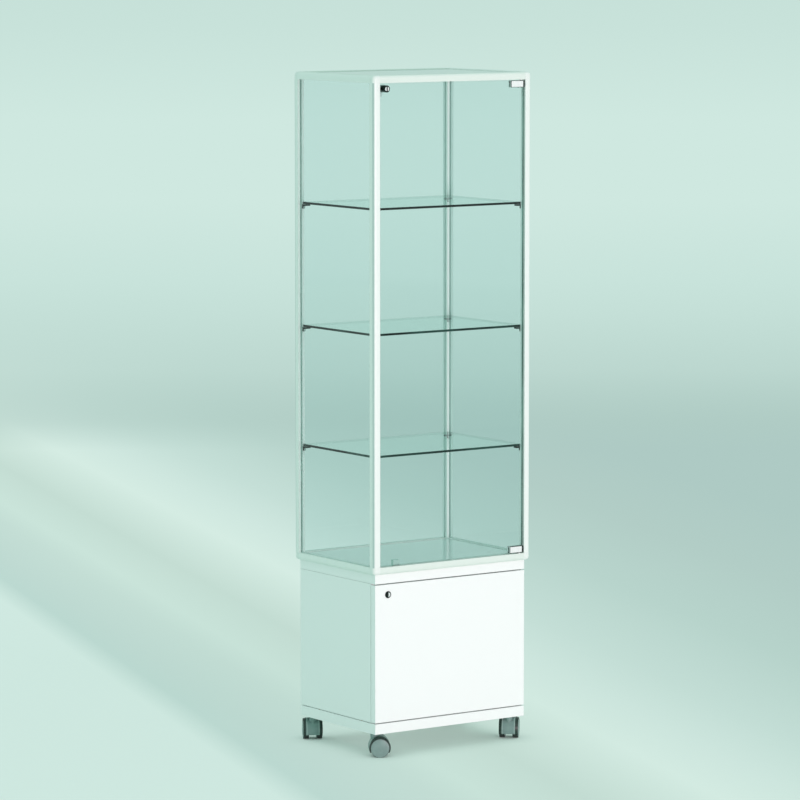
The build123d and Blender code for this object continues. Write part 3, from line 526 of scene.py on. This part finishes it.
# Painted light and shade: a lighter panel, bright rims of painted highlight and flanks of painted shade.
HOOD_LIGHT_AND_SHADE_STOPS = [(0.0, "#83A09A"), (0.58, "#7C9893"), (0.65, "#B4D0C9"), (0.70, "#334C46"),
              (0.9, "#1B3029")]
WHEEL_TONES = ("#7A948F", "#849E99")
TREAD_COLOUR = "#22302D"
TREAD_FROM_MM = 24.2
TREAD_WHOLE_MM = 24.7
NYLON_GRAIN_MM = 0.71429
NYLON_DRIFT_MM = 16.667
BUSH_TONES = ("#E4ECE9", "#DDE6E3")


def drifting_tone(tree, place, tones):
    """A tone that drifts slowly between two, as a moulding's colour does."""
    drift = node(tree, "TexNoise", Vector=place, Scale=1000.0 / NYLON_DRIFT_MM, Detail=2.0)
    return node(tree, "ValToRGB", {"stops": [(0.35, tones[0]), (0.65, tones[1])]}, i0=drift.outputs[0])


def grained_surface(tree, output, place, tone, roughness):
    """Nylon of a given tone with a fine spark-eroded grain, drawn coarser than real so that it shows."""
    grain = node(tree, "TexNoise", Vector=place, Scale=1000.0 / NYLON_GRAIN_MM, Detail=3.0)
    bump = node(tree, "Bump", Strength=0.15, Distance=SKIN_DEPTH_MM / 1000, Height=grain.outputs[0])
    body = node(tree, "BsdfPrincipled", Base_Color=tone, Roughness=roughness, Normal=bump.outputs[0])
    tree.links.new(body.outputs[0], output.inputs["Surface"])


def bush_nylon(name):
    """White nylon with a slight drift of tone, for the pivot bushes."""
    material, tree, output = new_material(name)
    place = node(tree, "TexCoord").outputs["Object"]
    tone = drifting_tone(tree, place, BUSH_TONES)
    grained_surface(tree, output, place, tone.outputs[0], roughness=0.45)
    return material


CASTORS = [f"castor_{end}_{side}" for end in ("front", "back") for side in ("left", "right")]


def axle_line(castor):
    """The point midway between a castor's wheels and the direction of their axle."""
    centres = []
    for label in "ab":
        low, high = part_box(f"{castor}_wheel_{label}")
        centres.append((Vector(low) + Vector(high)) / 2)
    return (centres[0] + centres[1]) / 2, (centres[0] - centres[1]).normalized()


def hood_nylon(name, castor):
    """Hood nylon, lighter on the panel round the middle, with painted highlight on its rims and painted
    shade on the flanks beside the wheels.
    """
    middle, axle = axle_line(castor)
    material, tree, output = new_material(name)
    place = node(tree, "TexCoord").outputs["Object"]
    away = node(tree, "VectorMath", {"operation": "SUBTRACT"}, i0=place, i1=tuple(middle))
    along_axle = node(tree, "VectorMath", {"operation": "DOT_PRODUCT"}, i0=away.outputs[0], i1=tuple(axle))
    side = node(tree, "Math", {"operation": "ABSOLUTE"}, i0=along_axle.outputs["Value"])
    share = node(tree, "MapRange", Value=side.outputs[0], From_Max=HOOD_HALF_WIDTH_MM / 1000)
    tone = node(tree, "ValToRGB", {"stops": HOOD_LIGHT_AND_SHADE_STOPS}, i0=share.outputs[0])
    grained_surface(tree, output, place, tone.outputs[0], roughness=0.34)
    return material


def wheel_nylon(name, castor):
    """Wheel nylon with faces lighter than the tread, told apart by the distance from the axle's line."""
    middle, axle = axle_line(castor)
    material, tree, output = new_material(name)
    place = node(tree, "TexCoord").outputs["Object"]
    away = node(tree, "VectorMath", {"operation": "SUBTRACT"}, i0=place, i1=tuple(middle))
    across = node(tree, "VectorMath", {"operation": "CROSS_PRODUCT"}, i0=away.outputs[0], i1=tuple(axle))
    radius = node(tree, "VectorMath", {"operation": "LENGTH"}, i0=across.outputs[0])
    is_tread = node(tree, "MapRange", Value=radius.outputs["Value"], From_Min=TREAD_FROM_MM / 1000,
                    From_Max=TREAD_WHOLE_MM / 1000)
    face_tone = drifting_tone(tree, place, WHEEL_TONES)
    tone = node(tree, "Mix", {"data_type": "RGBA"}, i0=is_tread.outputs[0], i6=face_tone.outputs[0],
                i7=linear(TREAD_COLOUR))
    grained_surface(tree, output, place, tone.outputs[2], roughness=0.4)
    return material


for castor in CASTORS:
    dress((f"{castor}_hood",), hood_nylon(f"hood_nylon_{castor}", castor))
    dress([f"{castor}_wheel_{label}" for label in "ab"], wheel_nylon(f"dark_tread_nylon_{castor}", castor))
dress(("pivot_bushes",), bush_nylon("white_nylon_bush"))
dress([f"{name}_axle" for name in CASTORS], zinc)
